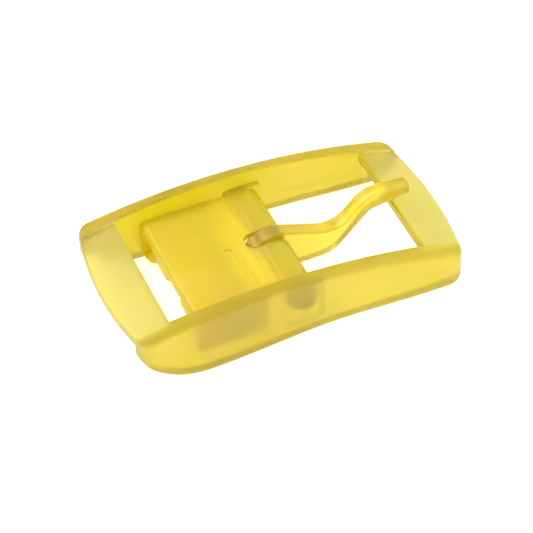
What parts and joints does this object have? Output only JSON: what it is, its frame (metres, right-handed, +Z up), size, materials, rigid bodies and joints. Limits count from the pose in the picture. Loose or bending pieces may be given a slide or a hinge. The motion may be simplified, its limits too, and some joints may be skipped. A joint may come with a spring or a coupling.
{
  "type": "belt buckle",
  "caption": "Translucent moulded belt buckle: arched frame with a centre bar, a swan-neck tongue, and a hinged clip with a clamp jaw that grips a belt cut to length.",
  "frame": {"origin": "on the surface that the buckle stands on, under the middle of the frame", "axes": "+X along the belt from the clip towards the tongue's tip, +Y across the belt, +Z up, away from the wearer"},
  "size_m": [0.0894, 0.0448, 0.0185],
  "materials": {
    "frame_plastic": "translucent yellow, satin frosted",
    "bar_plastic": "translucent yellow, satin frosted",
    "clip_plastic": "translucent yellow, satin frosted",
    "tongue_plastic": "translucent yellow, satin frosted"
  },
  "bodies": {
    "frame_body": {"frame": "frame_plastic", "cross_bar": "bar_plastic"},
    "clip": {"clip_body": "clip_plastic"},
    "jaw": {"clamp_jaw": "clip_plastic"},
    "tongue_arm": {"tongue": "tongue_plastic"}
  },
  "joints": [
    {"name": "tongue_hinge", "type": "hinge", "parent": "frame_body", "child": "tongue_arm", "pos_m": [0, 0, 0.01], "axis": [0, -1, 0], "range_deg": [-3, 70]},
    {"name": "clip_hinge", "type": "hinge", "parent": "frame_body", "child": "clip", "pos_m": [0, 0, 0.01], "axis": [0, -1, 0], "range_deg": [-52, 95]},
    {"name": "jaw_hinge", "type": "hinge", "parent": "clip", "child": "jaw", "pos_m": [-0.01325, 0, 0.0056], "axis": [0, -1, 0], "range_deg": [0, 95]}
  ]
}
